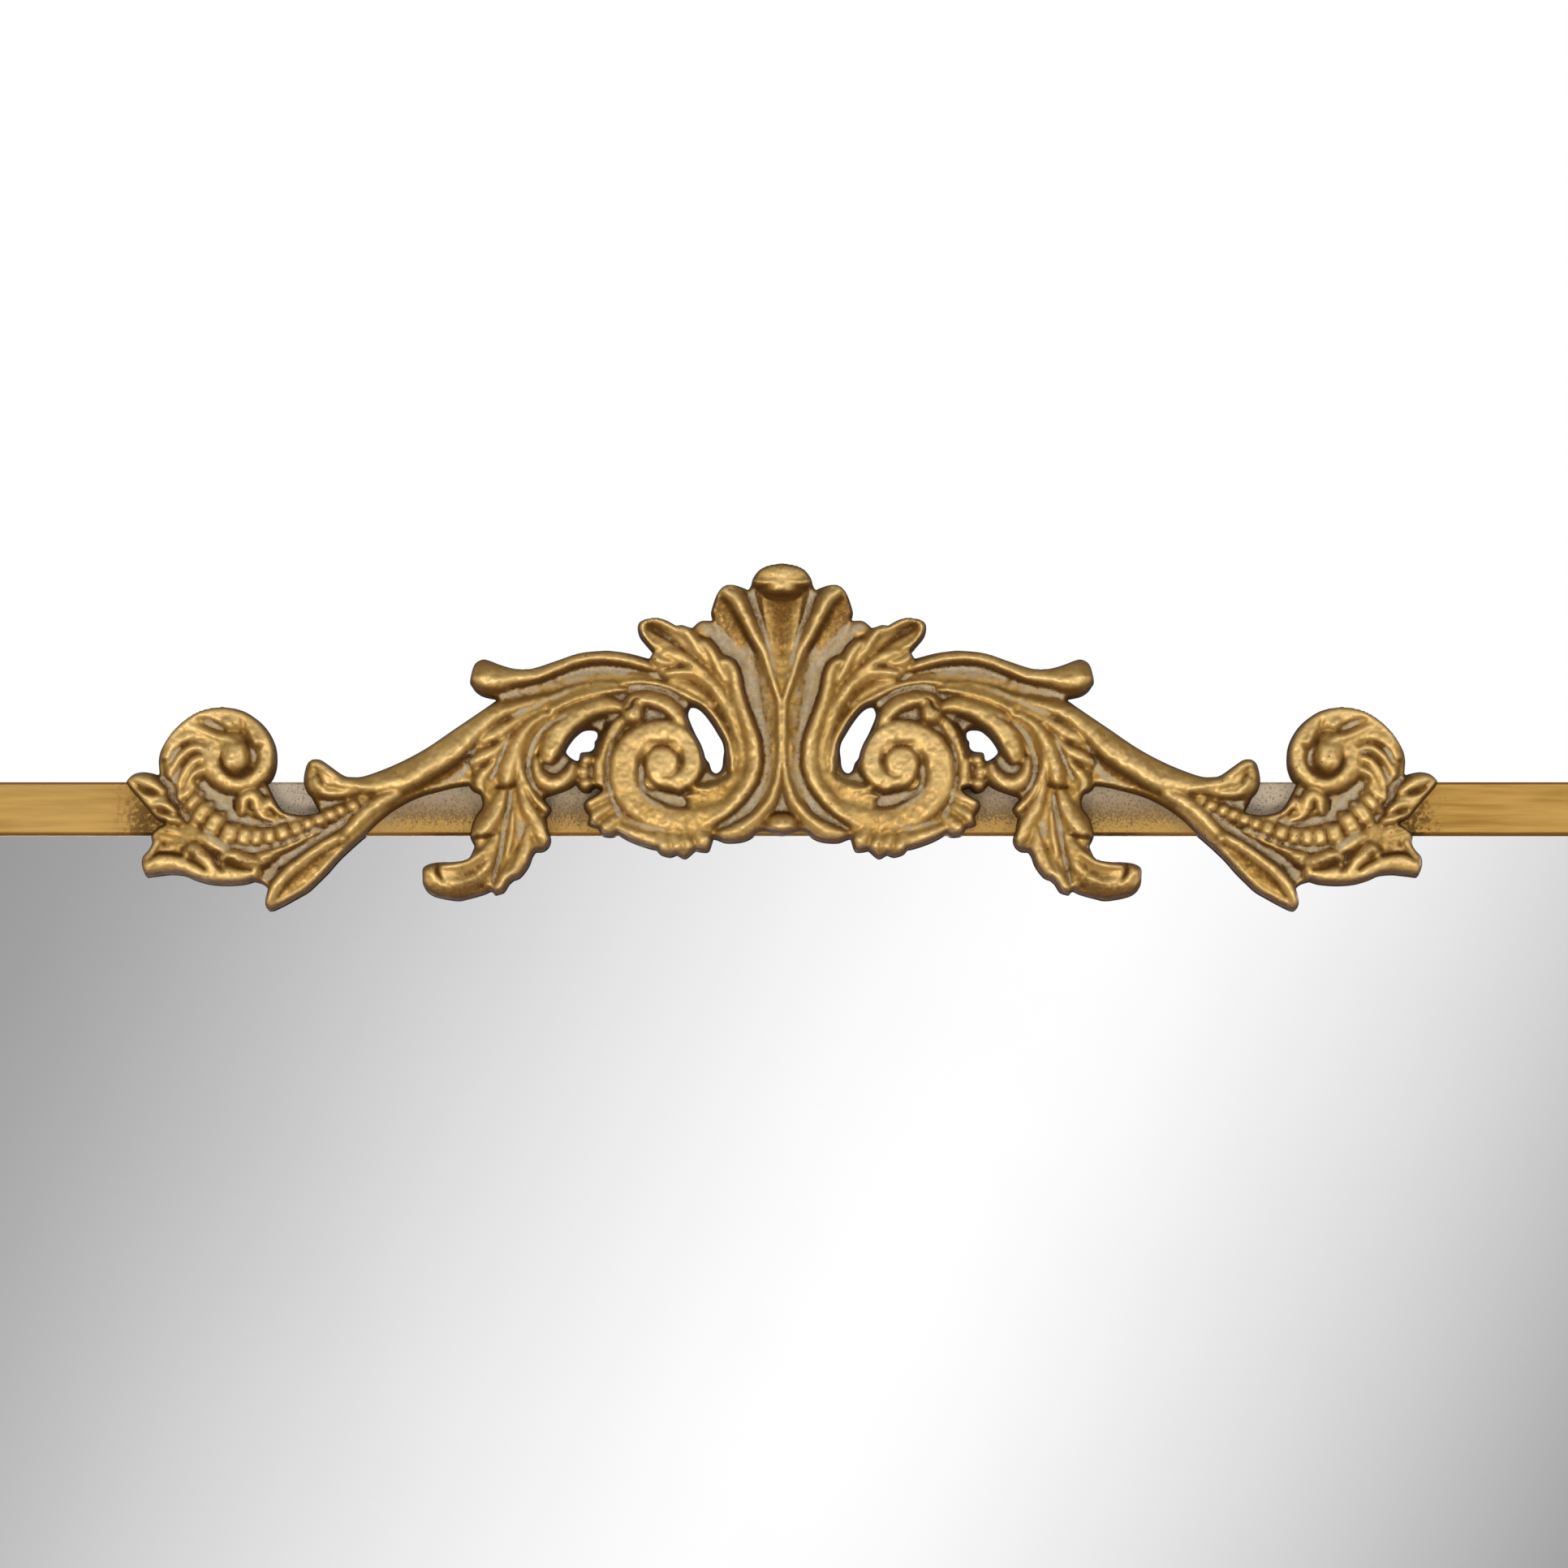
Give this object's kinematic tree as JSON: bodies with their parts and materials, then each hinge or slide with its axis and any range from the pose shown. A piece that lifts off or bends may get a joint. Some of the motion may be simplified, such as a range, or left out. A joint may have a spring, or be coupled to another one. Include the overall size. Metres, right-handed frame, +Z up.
{
  "type": "floor mirror",
  "caption": "Full-length floor mirror in a slim gilt frame with a scroll and acanthus crest on the top bar, leaning back on a folding rear stand.",
  "frame": {"origin": "on the floor, under the middle of the whole mirror's outline with its stand open", "axes": "+Z up, +Y from the viewer towards the stand behind the mirror, +X to the viewer's right"},
  "size_m": [0.711, 0.3663, 1.7721],
  "materials": {
    "bar_gilt": "brushed gold over aluminium, dark speckled patina beside the crest",
    "crest_gilt": "cast resin gilded in antique gold, brown in the hollows with a grey-taupe wash",
    "silvered_glass": "silvered float glass",
    "cast_key": "as cast",
    "zinc_steel": "zinc plated",
    "clip_steel": "zinc plated sheet",
    "black_rubber": "matt black rubber",
    "white_foam": "closed-cell foam sheet",
    "grey_board": "hardboard with a painted back",
    "black_plastic": "moulded, satin",
    "black_steel": "black powder coat",
    "white_nylon": "natural nylon"
  },
  "bodies": {
    "mirror": {"top_rail": "bar_gilt", "bottom_rail": "bar_gilt", "left_stile": "bar_gilt", "right_stile": "bar_gilt", "crest": "crest_gilt", "corner_key_top_left": "cast_key", "corner_key_top_right": "cast_key", "corner_key_bottom_left": "cast_key", "corner_key_bottom_right": "cast_key", "corner_screws": "zinc_steel", "board_clip_screws": "zinc_steel", "crest_screws": "zinc_steel", "hinge_screws": "zinc_steel", "foot_screws": "zinc_steel", "strap_bracket_screws": "zinc_steel", "hinge_pin_left": "zinc_steel", "hinge_pin_right": "zinc_steel", "board_clips": "clip_steel", "strap_bracket": "clip_steel", "mirror_glass": "silvered_glass", "glass_gasket": "black_rubber", "foam_liner": "white_foam", "backing_board": "grey_board", "access_plugs": "black_plastic", "hinge_bracket_left": "black_steel", "hinge_bracket_right": "black_steel", "hinge_washers": "white_nylon", "floor_foot_left": "black_rubber", "floor_foot_right": "black_rubber", "wall_bumper_left": "black_rubber", "wall_bumper_right": "black_rubber"},
    "stand": {"stand_frame": "black_steel", "stand_plug_left": "black_plastic", "stand_plug_right": "black_plastic", "stand_sleeve_left": "black_rubber", "stand_sleeve_right": "black_rubber"}
  },
  "joints": [
    {"name": "stand_hinge", "type": "hinge", "parent": "mirror", "child": "stand", "pos_m": [0, 0.0342, 1.13881], "axis": [1, 0, 0], "range_deg": [-16, 0]}
  ]
}
